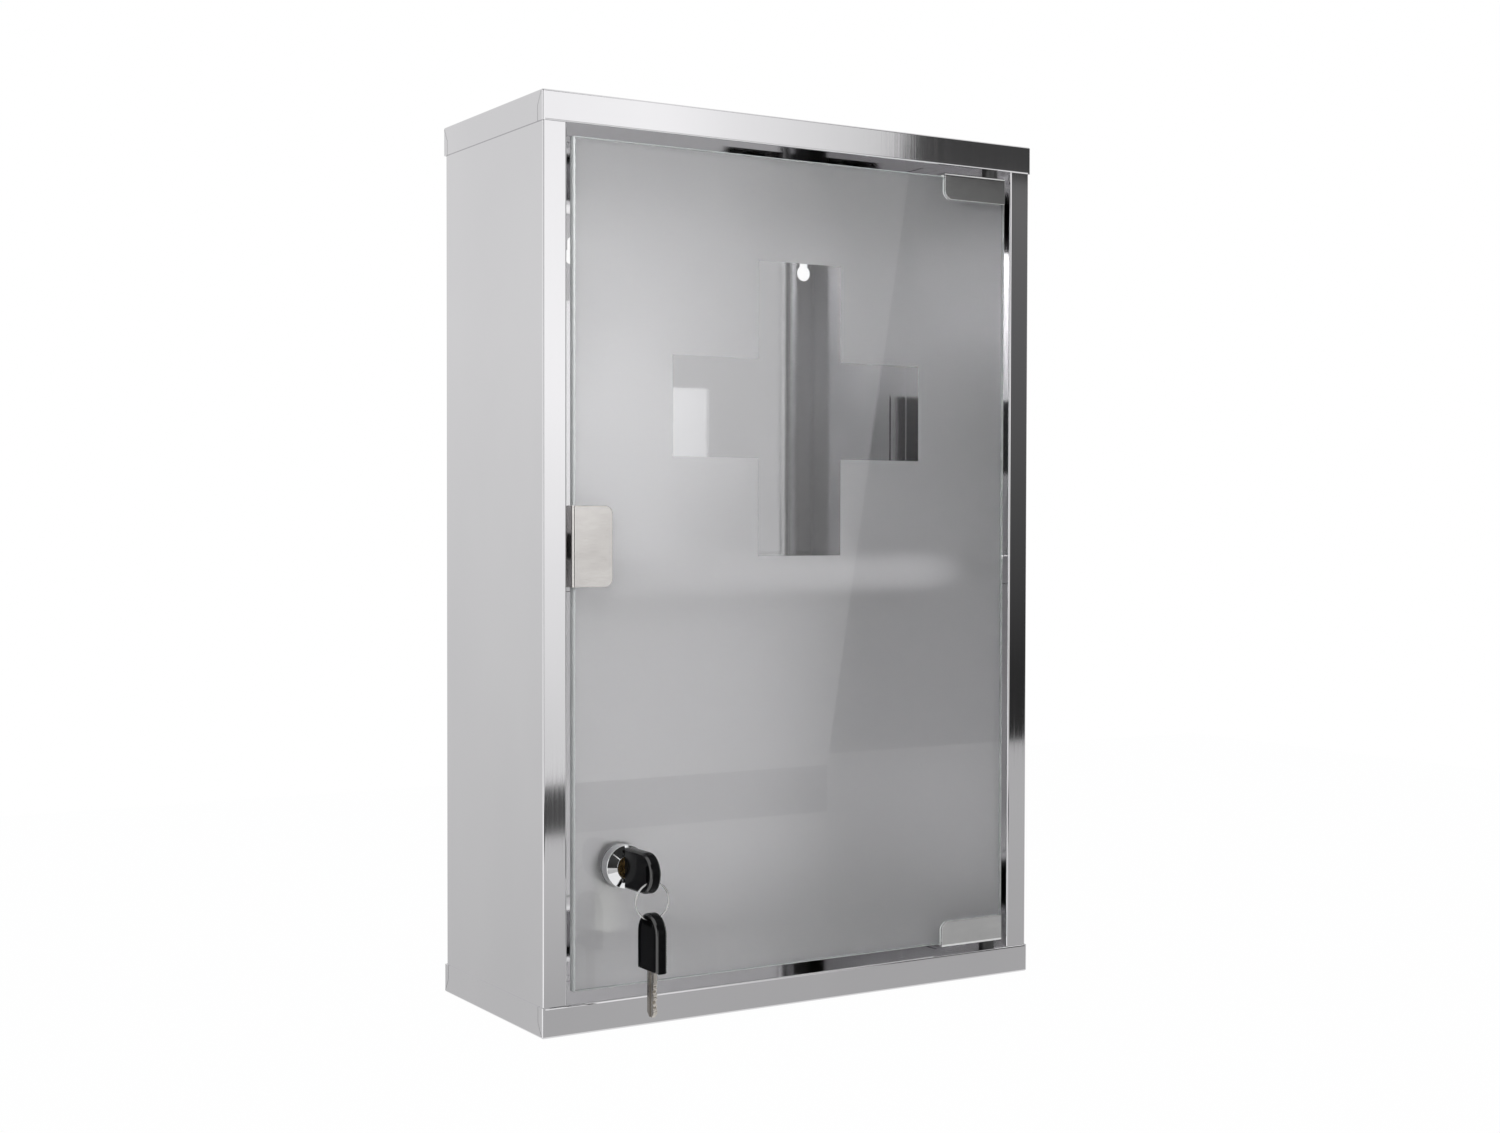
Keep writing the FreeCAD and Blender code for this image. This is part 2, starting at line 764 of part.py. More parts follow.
def blade_blank():
    """Blade along +Y with a seat in the bow, a groove on each face, a pointed tip and bitting cuts."""
    half = blade_width / 2
    outline = [
        (-blade_seat, -half),
        (blade_length - blade_tip, -half),
        (blade_length, -blade_point / 2),
        (blade_length, blade_point / 2),
        (blade_length - blade_tip, half),
        (-blade_seat, half),
    ]
    blade = prism(outline, side, Vector(blade_thickness, 0, 0))
    blade.translate(Vector(-blade_thickness / 2, 0, 0))
    groove = blade_groove_width / 2
    for x in (-blade_thickness / 2, blade_thickness / 2):
        cutter = box(x - blade_groove, x + blade_groove, key_gap, blade_length + over, -groove, groove)
        blade = blade.cut(cutter)
    for index, depth_cut in enumerate(blade_cut_depths):
        y = blade_length - blade_tip - (index + 1) * blade_cut_pitch
        notch = [(y - depth_cut, -half), (y, -half + depth_cut), (y + depth_cut, -half)]
        cutter = prism(notch, side, Vector(2 * blade_thickness, 0, 0))
        cutter.translate(Vector(-blade_thickness, 0, 0))
        blade = blade.cut(cutter)
    return blade


def key_pieces():
    """Blade and bow of one key in the key's own frame."""
    blade = blade_blank()
    bow = bow_blank().cut(bow_slot()).cut(blade)
    return blade, bow


def in_lock(piece):
    """Key piece moved into the keyway."""
    placed = piece.copy()
    placed.translate(Vector(lock_x, bow_y, lock_z))
    return placed


def on_ring(piece):
    """Key piece hung from the ring, blade down."""
    placed = piece.copy()
    placed.rotate(Vector(0, 0, 0), Vector(1, 0, 0), -90)
    placed.translate(Vector(lock_x, ring_y, spare_bow_z))
    return placed


def key_ring():
    """Flat-wire ring with bevelled edges through the slots of both bows."""
    bevel = ring_wire / 2
    outline = [
        (ring_radius - ring_wire, ring_y - bevel),
        (ring_radius - bevel, ring_y - ring_wire),
        (ring_radius + bevel, ring_y - ring_wire),
        (ring_radius + ring_wire, ring_y - bevel),
        (ring_radius + ring_wire, ring_y + bevel),
        (ring_radius + bevel, ring_y + ring_wire),
        (ring_radius - bevel, ring_y + ring_wire),
        (ring_radius - ring_wire, ring_y + bevel),
    ]
    return turned(outline, lock_x, ring_z)


def ear_hole_places():
    return (catch_x - ear_hole_spacing / 2, catch_x + ear_hole_spacing / 2)


def catch_housing():
    """Moulded body bored for the plunger, with a screw ear on each side."""
    half = catch_width / 2
    body = box(catch_x - half, catch_x + half, catch_front_y, catch_rear_y, shelf_z, shelf_z + catch_height)
    body = rounded(body, catch_edge, lambda edge: edge.ZMin > shelf_z + over)
    reach = ear_span / 2
    ear_half = ear_width / 2
    ear_z = shelf_z + ear_thickness
    ears = box(catch_x - reach, catch_x + reach, ear_y - ear_half, ear_y + ear_half, shelf_z, ear_z)
    ears = rounded(ears, ear_corner, along_z)
    body = body.fuse(ears).removeSplitter()
    body = body.cut(rod_y(catch_x, catch_z, plunger_bore, catch_front_y - over, catch_bore_y))
    for x in ear_hole_places():
        hole = rod_z(x, ear_y, catch_screw_radius + running_gap, shelf_z - over, ear_z + over)
        body = body.cut(hole)
    return body


def catch_screws():
    """Screws through the ears into the shelf."""
    screws = []
    seat_z = shelf_z + ear_thickness
    half = clip_screw_slot / 2
    reach = catch_screw_head + over
    for x in ear_hole_places():
        head = rod_z(x, ear_y, catch_screw_head, seat_z, seat_z + catch_screw_head_height)
        rims = [edge for edge in head.Edges if edge.BoundBox.ZMin > seat_z]
        head = head.makeChamfer(catch_screw_head_height / 2, rims)
        shank = rod_z(x, ear_y, catch_screw_radius, shelf_z - sheet - catch_screw_reach, seat_z)
        screw = head.fuse(shank).removeSplitter()
        slot_z = seat_z + catch_screw_head_height / 2
        slot = box(x - half, x + half, ear_y - reach, ear_y + reach, slot_z, seat_z + reach)
        screws.append(screw.cut(slot))
    return Part.makeCompound(screws)


def catch_plunger():
    """Plunger with a cup for the magnet at its tip."""
    rod = rod_y(catch_x, catch_z, plunger_radius, plunger_tip_y, plunger_end_y)
    cup = magnet_radius + running_gap
    return rod.cut(rod_y(catch_x, catch_z, cup, plunger_tip_y - over, plunger_tip_y + magnet_depth))


def catch_magnet():
    """Disc magnet in the plunger's tip."""
    return rod_y(catch_x, catch_z, magnet_radius, plunger_tip_y, plunger_tip_y + magnet_depth)


def coil_point(turn):
    """Point on the spring's helix after a number of turns."""
    free = spring_length - 2 * spring_wire - 2 * catch_contact
    angle = 2 * math.pi * turn
    y = plunger_end_y + spring_wire + catch_contact + free * turn / spring_turns
    return Vector(catch_x + spring_radius * math.cos(angle), y, catch_z + spring_radius * math.sin(angle))


def catch_spring():
    """Square-wire coil that drives the plunger out, laid in short arcs."""
    arcs = []
    for arc in range(coil_arcs * spring_turns):
        start, middle, end = [coil_point((arc + step / 2) / coil_arcs) for step in range(3)]
        arcs.append(Part.Arc(start, middle, end).toShape())
    start = coil_point(0)
    corners = [
        start + Vector(-spring_wire, -spring_wire, 0),
        start + Vector(spring_wire, -spring_wire, 0),
        start + Vector(spring_wire, spring_wire, 0),
        start + Vector(-spring_wire, spring_wire, 0),
    ]
    section = Part.makePolygon(corners + corners[:1])
    return Part.Wire(arcs).makePipeShell([section], True, False)


key_blade, key_bow = key_pieces()
top_pieces = {
    "cap": top_cap(),
    "hinge_clip": top_hinge_clip(),
    "hinge_liner": top_hinge_liner(),
    "pivot_pin": top_pivot_pin(),
    "pivot_bush": top_pivot_bush(),
}
right_pieces = {
    "side_panel": right_side_panel(),
    "shelf_rest": right_shelf_rest(),
}
pieces = {
    "back_panel": back_panel(),
    "shelf": shelf(),
    "door_glass": door_glass(),
    "hinge_clamp_screws": hinge_clamp_screws(),
    "strike_clip": strike_clip(),
    "strike_clip_liner": strike_clip_liner(),
    "strike_clamp_screws": strike_clamp_screws(),
    "lock_barrel": lock_barrel(),
    "lock_gasket": lock_ring(sleeve_bore, bezel_radius, gasket_y, glass_y),
    "lock_sleeve": lock_ring(sleeve_bore, sleeve_radius, glass_y, glass_rear_y),
    "lock_washer": lock_ring(sleeve_bore, lock_washer_radius, glass_rear_y, lock_washer_y),
    "lock_nut": lock_nut(),
    "lock_plug": lock_plug(),
    "lock_cam": lock_cam(),
    "cam_washer": lock_ring(cam_screw_radius + running_gap, cam_washer_radius, cam_rear_y, cam_washer_y),
    "cam_screw": cam_screw(),
    "key_blade": in_lock(key_blade),
    "key_bow": in_lock(key_bow),
    "key_ring": key_ring(),
    "spare_key_blade": on_ring(key_blade),
    "spare_key_bow": on_ring(key_bow),
    "catch_housing": catch_housing(),
    "catch_screws": catch_screws(),
    "catch_plunger": catch_plunger(),
    "catch_magnet": catch_magnet(),
    "catch_spring": catch_spring(),
}
for name, piece in top_pieces.items():
    pieces["top_" + name] = piece
    pieces["bottom_" + name] = upended(piece)
for name, piece in right_pieces.items():
    pieces["right_" + name] = piece
    pieces["left_" + name] = mirrored(piece)

os.makedirs("parts", exist_ok=True)
for name, piece in pieces.items():
    piece.exportStep("parts/" + name + ".step")
    solids = len(piece.Solids)
    print(name, "solids", solids, "valid", piece.isValid(), "volume", round(piece.Volume, 1))
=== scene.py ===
import json
import math

import bmesh
import bpy
from mathutils import Matrix, Vector


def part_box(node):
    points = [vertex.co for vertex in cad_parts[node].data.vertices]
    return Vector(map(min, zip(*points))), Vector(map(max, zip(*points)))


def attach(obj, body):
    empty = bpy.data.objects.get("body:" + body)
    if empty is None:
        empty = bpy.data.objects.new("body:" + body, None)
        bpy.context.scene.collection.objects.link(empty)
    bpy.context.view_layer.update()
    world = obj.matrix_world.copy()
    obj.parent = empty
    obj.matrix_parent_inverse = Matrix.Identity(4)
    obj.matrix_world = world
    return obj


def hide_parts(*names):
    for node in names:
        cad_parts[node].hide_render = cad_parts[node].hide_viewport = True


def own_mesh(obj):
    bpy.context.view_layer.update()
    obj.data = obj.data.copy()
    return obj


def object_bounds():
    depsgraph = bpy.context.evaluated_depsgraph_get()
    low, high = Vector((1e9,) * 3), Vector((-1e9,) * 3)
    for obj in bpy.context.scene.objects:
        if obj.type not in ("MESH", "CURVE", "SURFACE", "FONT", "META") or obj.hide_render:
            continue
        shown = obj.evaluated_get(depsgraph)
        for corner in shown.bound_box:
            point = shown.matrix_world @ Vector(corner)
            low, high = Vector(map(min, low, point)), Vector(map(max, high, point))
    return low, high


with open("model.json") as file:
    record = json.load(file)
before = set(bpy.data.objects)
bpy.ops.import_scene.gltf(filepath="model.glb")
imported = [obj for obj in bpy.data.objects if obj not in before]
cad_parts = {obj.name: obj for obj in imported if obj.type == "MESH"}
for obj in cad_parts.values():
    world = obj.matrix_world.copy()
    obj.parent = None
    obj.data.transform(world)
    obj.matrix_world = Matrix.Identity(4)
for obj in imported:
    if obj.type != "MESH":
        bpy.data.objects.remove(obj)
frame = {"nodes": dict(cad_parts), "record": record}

cad_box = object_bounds()
nodes = frame["nodes"]
bodies = frame["record"]["behaviour"]["bodies"]
body_of_node = {node: body for body, members in bodies.items() for node in members}
slot_of_node = {part["node"]: part["material_slot"] for part in frame["record"]["subparts"]}

# Camera at the photograph's station, in metres in the part's frame
camera_place = Vector((-0.58415, -1.02264, -0.14423))
camera_yaw = math.radians(31.415)
camera_pitch = math.radians(-1.301)
camera_roll = math.radians(0.113)
camera_near = 0.01
focal_pixels = 2065.3
image_width = 1500
sensor_width = 36.0

# Floor and sky: metres, colours, and how white the floor is where it is seen
floor_drop = 1.0
floor_half = 8.0
floor_colour = (0.88, 0.88, 0.88, 1.0)
floor_white_share = 0.96
sky_colour = (0.97, 0.98, 1.0, 1.0)
plain_colour = (1.0, 1.0, 1.0, 1.0)

# Cards that stand before and behind the cabinet, in metres
card_y = -2.5
card_high = 3.0
card_low = -3.0
card_left = -3.5
card_right = 6.0
backdrop_y = 2.5
backdrop_right = 0.0
white_card_foot = -0.613
white_card_left = -1.0
white_card_left_head = -0.55
white_card_edge = 1.596
white_card_lean = 0.165
white_card_step = 0.019
white_card_step_z = 0.53
step_half = 0.005
dark_card_foot = -0.591
dark_card_right = 1.98
dark_strip_foot = -0.702
dark_top_foot = 0.8
dark_top_edge = 1.2

# Card that lights the left side, in metres
key_light_x = -1.45
key_light_near = -1.4
key_light_far = -0.6
key_light_foot = -0.8
key_light_head = 0.5

# Levels of the cards: one level, or pairs of a height and a level; white_across has places along X
white_upright = [(-0.534, 0.92), (0.064, 1.31)]
white_across = [(1.25, 1.0), (1.75, 0.62)]
dark_upright = [
    (-0.6, 0.028), (-0.442, 0.035), (-0.262, 0.069), (0.097, 0.131),
    (0.5, 0.187), (0.53, 0.187), (0.545, 0.066)]
dark_side_upright = [(-0.6, 0.03), (0.5, 0.05)]
grey_card_upright = [(-1.0, 0.55), (-0.72, 0.72)]
grey_right_upright = [(-1.0, 0.54), (-0.72, 0.594)]
backdrop_upright = [(-1.0, 0.676), (0.2, 0.89)]
dark_top_level = 0.03
dark_strip_level = 0.073
key_light_level = 1.8

# Soft lights on the glass: name, centre, target, half side and level
soft_lights = (
    ("soft_light", Vector((-0.55, -0.36, 0.22)), Vector((-0.05, -0.115, -0.08)), 0.2, 17.0),
    ("low_light", Vector((-0.045, -0.2, -0.45)), Vector((-0.045, -0.115, -0.36)), 0.05, 4.0))

# Joining and shading of meshes: metres, and degrees up to which faces are shaded smooth
merge_distance = 0.000001
smooth_angle = 50
leaf_angle = 20
bezel_angle = 26
flat_face_weight = 100

# Eased front outline of the clips, in metres
eased_pieces = ("top_hinge_clip", "bottom_hinge_clip", "strike_clip")
eased_edge = 0.0003
eased_steps = 3
round_profile = 0.5
flat_angle = math.radians(0.5)
sharp_angle = math.radians(32)
same_plane = 0.00002

# Turned bezel of the lock, in metres: funnel, rounded crest, sloping face, rounded edge, side
funnel_radius = 0.00505
funnel_depth = 0.0018
funnel_slope = math.radians(69)
crest_radius = 0.00603
crest_round = 0.00045
face_slope = math.radians(25.5)
bezel_radius = 0.0108
bezel_round = 0.0005
bezel_depth = 0.008
bezel_seat_radius = 0.0085
bezel_cut_reach = 0.000002
arc_steps = 6
bezel_steps = 128

# Rounded edges of the key bows, told by the sideways part of a face's normal
rim_low = 0.25
rim_high = 0.97

# Faces of the glass leaf, in metres, and the part of a normal that counts as square on
etch_depth = 0.00015
etch_reach = 0.00005
ground_reach = 0.003
square_on = 0.9

# Hem behind each front flange, in metres
hem_y = -0.1043
hem_sheet = 0.0007
hem_inset = 0.001

# Span of the noise that the finishes spread over their tones
noise_low = 0.3
noise_high = 0.7

# Meshes


def eased(work):
    """Rounds off the outline of a mesh's front face."""
    bmesh.ops.dissolve_limit(work, angle_limit=flat_angle, verts=work.verts, edges=work.edges)
    front = min(v.co.y for v in work.verts) + same_plane
    outline = [
        e for e in work.edges
        if e.is_manifold and e.calc_face_angle() > sharp_angle
        and all(v.co.y < front for v in e.verts)]
    bmesh.ops.bevel(work, geom=outline, offset=eased_edge, segments=eased_steps,
                    profile=round_profile, affect="EDGES")


def arc(centre_radius, centre_depth, size, start, end):
    """Points of a round stretch, with its angles counted outwards from straight ahead."""
    turns = [start + (end - start) * step / arc_steps for step in range(arc_steps + 1)]
    return [(centre_radius + size * math.sin(turn), centre_depth - size * math.cos(turn))
            for turn in turns]


def bezel_outline():
    """Radius and distance behind the front, from the funnel over the crest to the seat."""
    edge_radius = bezel_radius - bezel_round
    rise = (edge_radius - crest_radius) * math.sin(face_slope) - crest_round + bezel_round
    edge_depth = crest_round + rise / math.cos(face_slope)
    return ([(funnel_radius, funnel_depth)]
            + arc(crest_radius, crest_round, crest_round, -funnel_slope, face_slope)
            + arc(edge_radius, edge_depth, bezel_round, face_slope, math.pi / 2)
            + [(bezel_radius, bezel_depth), (bezel_seat_radius, bezel_depth)])


def bezel(work):
    """Takes a mesh's front away as far as the bezel reaches, and turns a finer bezel there."""
    outline = bezel_outline()
    front = min(v.co.y for v in work.verts)
    seat = front + bezel_depth
    wide = [v.co for v in work.verts if v.co.y < seat]
    centre_x = (min(c.x for c in wide) + max(c.x for c in wide)) / 2
    centre_z = (min(c.z for c in wide) + max(c.z for c in wide)) / 2
    whole = work.verts[:] + work.edges[:] + work.faces[:]
    bmesh.ops.bisect_plane(work, geom=whole, plane_co=(0, seat, 0), plane_no=(0, 1, 0),
                           dist=bezel_cut_reach, clear_inner=True)
    rings = []
    for step in range(bezel_steps):
        turn = 2 * math.pi * step / bezel_steps
        rings.append([
            work.verts.new((centre_x + radius * math.cos(turn), front + depth,
                            centre_z + radius * math.sin(turn)))
            for radius, depth in outline])
    for ring, following in zip(rings, rings[1:] + rings[:1]):
        for inner in range(len(outline) - 1):
            outer = inner + 1
            work.faces.new((ring[inner], ring[outer], following[outer], following[inner]))


def welded(source, shaped=None):
    """Copy of a mesh with its split corners joined, shaped further if a function is given."""
    work = bmesh.new()
    work.from_mesh(source)
    bmesh.ops.remove_doubles(work, verts=work.verts, dist=merge_distance)
    if shaped:
        shaped(work)
        bmesh.ops.recalc_face_normals(work, faces=work.faces)
    mesh = bpy.data.meshes.new(source.name + "_dressed")
    work.to_mesh(mesh)
    work.free()
    for name in ("custom_normal", "sharp_edge", "sharp_face"):
        if name in mesh.attributes:
            mesh.attributes.remove(mesh.attributes[name])
    return mesh


def smooth(obj, angle):
    """Shades an object smooth up to an angle, with flat faces kept flat."""
    mesh = obj.data
    mesh.polygons.foreach_set("use_smooth", [True] * len(mesh.polygons))
    mesh.set_sharp_from_angle(angle=math.radians(angle))
    weights = obj.modifiers.new("flat_faces", "WEIGHTED_NORMAL")
    weights.keep_sharp = True
    weights.weight = flat_face_weight


def dressed(node, *materials, angle=smooth_angle, shaped=None):
    """Piece with the node's own shape and a new finish, in the node's place."""
    obj = bpy.data.objects.new("look_" + node, welded(nodes[node].data, shaped))
    bpy.context.scene.collection.objects.link(obj)
    obj.data.materials.clear()
    for material in materials:
        obj.data.materials.append(material)
    smooth(obj, angle)
    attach(obj, body_of_node[node])
    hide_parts(node)
    return obj


def card(name, corners, material, lights=True, through=False, mirrored=True):
    """Flat stage piece that the camera doesn't see, but that lights, mirrors or glass may use."""
    mesh = bpy.data.meshes.new(name)
    mesh.from_pydata(corners, [], [tuple(range(len(corners)))])
    mesh.materials.append(material)
    obj = bpy.data.objects.new(name, mesh)
    bpy.context.scene.collection.objects.link(obj)
    obj.visible_camera = False
    obj.visible_diffuse = lights
    obj.visible_transmission = lights or through
    obj.visible_glossy = mirrored
    return obj


def rectangle(left, right, low, high, y):
    """Corners of an upright rectangle across Y."""
    return [(left, y, low), (right, y, low), (right, y, high), (left, y, high)]


def edge_x(z):
    """Leaning right-hand edge of the white card, set back above the step."""
    step = white_card_step if z > white_card_step_z else 0.0
    return white_card_edge + white_card_lean * (z - white_card_foot) - step


# Materials


class Finish:
    """Principled material with procedural detail in the part's own coordinates."""

    def __init__(self, name, **values):
        self.material = bpy.data.materials.new(name)
        self.material.use_nodes = True
        self.tree = self.material.node_tree
        self.shader = self.tree.nodes["Principled BSDF"]
        for key, value in values.items():
            self.shader.inputs[key.replace("_", " ")].default_value = value
        self.place = self.tree.nodes.new("ShaderNodeTexCoord").outputs["Object"]
        self.height = None

    def link(self, source, target):
        self.tree.links.new(source, target)

    def noise(self, scale, detail, rough=0.5):
        """Noise with a scale of its own along each axis."""
        mapping = self.tree.nodes.new("ShaderNodeMapping")
        mapping.inputs["Scale"].default_value = scale
        node = self.tree.nodes.new("ShaderNodeTexNoise")
        node.inputs["Scale"].default_value = 1.0
        node.inputs["Detail"].default_value = detail
        node.inputs["Roughness"].default_value = rough
        self.link(self.place, mapping.inputs["Vector"])
        self.link(mapping.outputs["Vector"], node.inputs["Vector"])
        return node.outputs["Fac"]

    def shades(self, fac, dark, light):
        """Base colour between two tones."""
        ramp = self.tree.nodes.new("ShaderNodeValToRGB")
        marks = ramp.color_ramp.elements
        marks[0].position = noise_low
        marks[1].position = noise_high
        marks[0].color = (*dark, 1.0)
        marks[1].color = (*light, 1.0)
        self.link(fac, ramp.inputs["Fac"])
        self.link(ramp.outputs["Color"], self.shader.inputs["Base Color"])

    def roughness(self, fac, low, high, start=noise_low, end=noise_high):
        """Roughness between two values."""
        node = self.tree.nodes.new("ShaderNodeMapRange")
        node.inputs["From Min"].default_value = start
        node.inputs["From Max"].default_value = end
        node.inputs["To Min"].default_value = low
        node.inputs["To Max"].default_value = high
        self.link(fac, node.inputs["Value"])
        self.link(node.outputs["Result"], self.shader.inputs["Roughness"])

    def bump(self, fac, strength, distance):
        """Relief, on top of any relief given before."""
        node = self.tree.nodes.new("ShaderNodeBump")
        node.inputs["Strength"].default_value = strength
        node.inputs["Distance"].default_value = distance
        self.link(fac, node.inputs["Height"])
        if self.height is not None:
            self.link(self.height, node.inputs["Normal"])
        self.height = node.outputs["Normal"]
        self.link(self.height, self.shader.inputs["Normal"])


def polished_steel():
    """Mirror-bright sheet with a faint upright grain, soft smudges and slightly uneven flats."""
    f = Finish("polished_steel", Metallic=1.0)
    f.shades(f.noise((9, 9, 5), detail=4), (0.643, 0.637, 0.651), (0.682, 0.676, 0.688))
    f.roughness(f.noise((1400, 1400, 5), detail=2), low=0.035, high=0.07)
    f.bump(f.noise((7, 7, 4), detail=1), strength=0.05, distance=0.004)
    f.bump(f.noise((2200, 2200, 8), detail=2), strength=0.02, distance=0.0002)
    return f.material


def satin_steel():
    """Satin sheet of the strike clip with a fine level grain."""
    f = Finish("satin_steel", Metallic=1.0)
    f.shades(f.noise((40, 40, 90), detail=4), (0.558, 0.538, 0.521), (0.638, 0.616, 0.599))
    f.roughness(f.noise((200, 200, 3000), detail=2), low=0.2, high=0.27)
    f.bump(f.noise((300, 300, 6000), detail=2), strength=0.01, distance=0.0001)
    return f.material


def bright_steel():
    """Fine-ground steel of the hinge clips and the key ring, nearly a mirror."""
    f = Finish("bright_steel", Metallic=1.0)
    f.shades(f.noise((40, 40, 120), detail=4), (0.551, 0.551, 0.551), (0.609, 0.609, 0.605))
    f.roughness(f.noise((200, 200, 3000), detail=2), low=0.07, high=0.12)
    f.bump(f.noise((300, 300, 6000), detail=2), strength=0.01, distance=0.0001)
    return f.material


def zinc_steel():
    """Zinc plate with a fine crystal grain."""
    f = Finish("zinc_steel", Metallic=1.0)
    f.shades(f.noise((300, 300, 300), detail=4), (0.48, 0.48, 0.47), (0.66, 0.66, 0.64))
    f.roughness(f.noise((700, 700, 700), detail=3), low=0.25, high=0.45)
    f.bump(f.noise((1500, 1500, 1500), detail=2), strength=0.08, distance=0.0003)
    return f.material


def chrome():
    """Bright plate of the lock barrel."""
    f = Finish("lock_chrome", Metallic=1.0)
    f.shades(f.noise((200, 200, 200), detail=3), (0.74, 0.745, 0.755), (0.8, 0.805, 0.81))
    f.roughness(f.noise((900, 900, 900), detail=3), low=0.03, high=0.07)
    f.bump(f.noise((300, 300, 300), detail=2), strength=0.02, distance=0.0003)
    return f.material


def brass():
    """Worn brass of the lock plug."""
    f = Finish("lock_brass", Metallic=1.0)
    f.shades(f.noise((400, 400, 400), detail=4), (0.42, 0.27, 0.1), (0.68, 0.48, 0.22))
    f.roughness(f.noise((1200, 1200, 1200), detail=3), low=0.2, high=0.4)
    f.bump(f.noise((2500, 2500, 2500), detail=2), strength=0.1, distance=0.0002)
    return f.material


def nickel():
    """Plated key blade with a grain along it."""
    f = Finish("key_nickel", Metallic=1.0)
    f.shades(f.noise((900, 900, 120), detail=4), (0.4, 0.375, 0.34), (0.5, 0.475, 0.44))
    f.roughness(f.noise((1500, 1500, 200), detail=3), low=0.16, high=0.26)
    f.bump(f.noise((3000, 3000, 300), detail=2), strength=0.04, distance=0.0002)
    return f.material


def black_plastic(name, gloss):
    """Moulded plastic of the key bows; where hands rub it, it has more gloss."""
    f = Finish(name, Specular_IOR_Level=gloss)
    f.shades(f.noise((500, 500, 500), detail=4), (0.0012, 0.0012, 0.0014), (0.003, 0.003, 0.0033))
    f.roughness(f.noise((1200, 1200, 1200), detail=3), low=0.1, high=0.18)
    f.bump(f.noise((2600, 2600, 2600), detail=2), strength=0.06, distance=0.0002)
    return f.material


def dull_steel():
    """Unpolished inner face of a folded hem."""
    f = Finish("dull_steel", Metallic=1.0)
    f.shades(f.noise((30, 30, 12), detail=4), (0.7, 0.695, 0.705), (0.76, 0.755, 0.765))
    f.roughness(f.noise((900, 900, 40), detail=3), low=0.42, high=0.52)
    f.bump(f.noise((1500, 1500, 60), detail=2), strength=0.03, distance=0.0002)
    return f.material


def moulded(name, dark, light, low, high):
    """Plain moulded plastic or rubber with a fine skin."""
    f = Finish(name)
    f.shades(f.noise((150, 150, 150), detail=4), dark, light)
    f.roughness(f.noise((800, 800, 800), detail=3), low, high)
    f.bump(f.noise((2000, 2000, 2000), detail=2), strength=0.1, distance=0.0003)
    return f.material


def clear_glass():
    """Float glass with a faint film of dust and finger marks."""
    f = Finish("glass_clear", Base_Color=(0.966, 0.97, 0.973, 1.0), Transmission_Weight=1.0,
               IOR=1.62)
    film = f.noise((14, 14, 20), detail=5, rough=0.6)
    f.roughness(film, low=0.0, high=0.025, start=0.45, end=0.8)
    return f.material


def frosted_glass():
    """Satin-etched face, partly milky, with an even fine grain."""
    f = Finish("glass_etched", Base_Color=(0.955, 0.951, 0.958, 1.0), Transmission_Weight=0.75,
               IOR=1.5)
    f.roughness(f.noise((40, 40, 40), detail=4), low=0.5, high=0.56)
    f.bump(f.noise((5000, 5000, 5000), detail=2), strength=0.05, distance=0.0001)
    return f.material


def ground_glass():
    """Ground edges of the leaf, matt with fine grinding lines along them."""
    f = Finish("glass_ground", Base_Color=(0.4, 0.42, 0.42, 1.0), Transmission_Weight=0.6,
               IOR=1.5)
    f.roughness(f.noise((60, 2500, 60), detail=3), low=0.32, high=0.5)
    f.bump(f.noise((90, 3000, 90), detail=2), strength=0.08, distance=0.0001)
    return f.material


def even(level):
    """Stops of a card that has one level all over."""
    return [(-1.0, level), (1.0, level)]


def levels(tree, place, stops):
    """Grey along one coordinate, as a share of the highest level, and that level."""
    first, last = stops[0][0], stops[-1][0]
    top = max(level for _, level in stops)
    span = tree.nodes.new("ShaderNodeMapRange")
    span.inputs["From Min"].default_value = first
    span.inputs["From Max"].default_value = last
    ramp = tree.nodes.new("ShaderNodeValToRGB")
    marks = ramp.color_ramp.elements
    while len(marks) < len(stops):
        marks.new(0.5)
    for mark, (at, level) in zip(marks, stops):
        mark.position = (at - first) / (last - first)
        mark.color = (level / top, level / top, level / top, 1.0)
    tree.links.new(place, span.inputs["Value"])
    tree.links.new(span.outputs["Result"], ramp.inputs["Fac"])
    return ramp.outputs["Color"], top


def glow(name, upright, across=None):
    """Card whose level follows its height, and its width too if stops are given for that."""
    material = bpy.data.materials.new(name)
    material.use_nodes = True
    tree = material.node_tree
    tree.nodes.clear()
    out = tree.nodes.new("ShaderNodeOutputMaterial")
    shine = tree.nodes.new("ShaderNodeEmission")
    place = tree.nodes.new("ShaderNodeTexCoord")
    split = tree.nodes.new("ShaderNodeSeparateXYZ")
    tree.links.new(place.outputs["Object"], split.inputs["Vector"])
    shade, top = levels(tree, split.outputs["Z"], upright)
    if across:
        wide_shade, wide_top = levels(tree, split.outputs["X"], across)
        both = tree.nodes.new("ShaderNodeVectorMath")
        both.operation = "MULTIPLY"
        tree.links.new(shade, both.inputs[0])
        tree.links.new(wide_shade, both.inputs[1])
        shade = both.outputs["Vector"]
        top *= wide_top
    shine.inputs["Strength"].default_value = top
    tree.links.new(shade, shine.inputs["Color"])
    tree.links.new(shine.outputs["Emission"], out.inputs["Surface"])
    return material


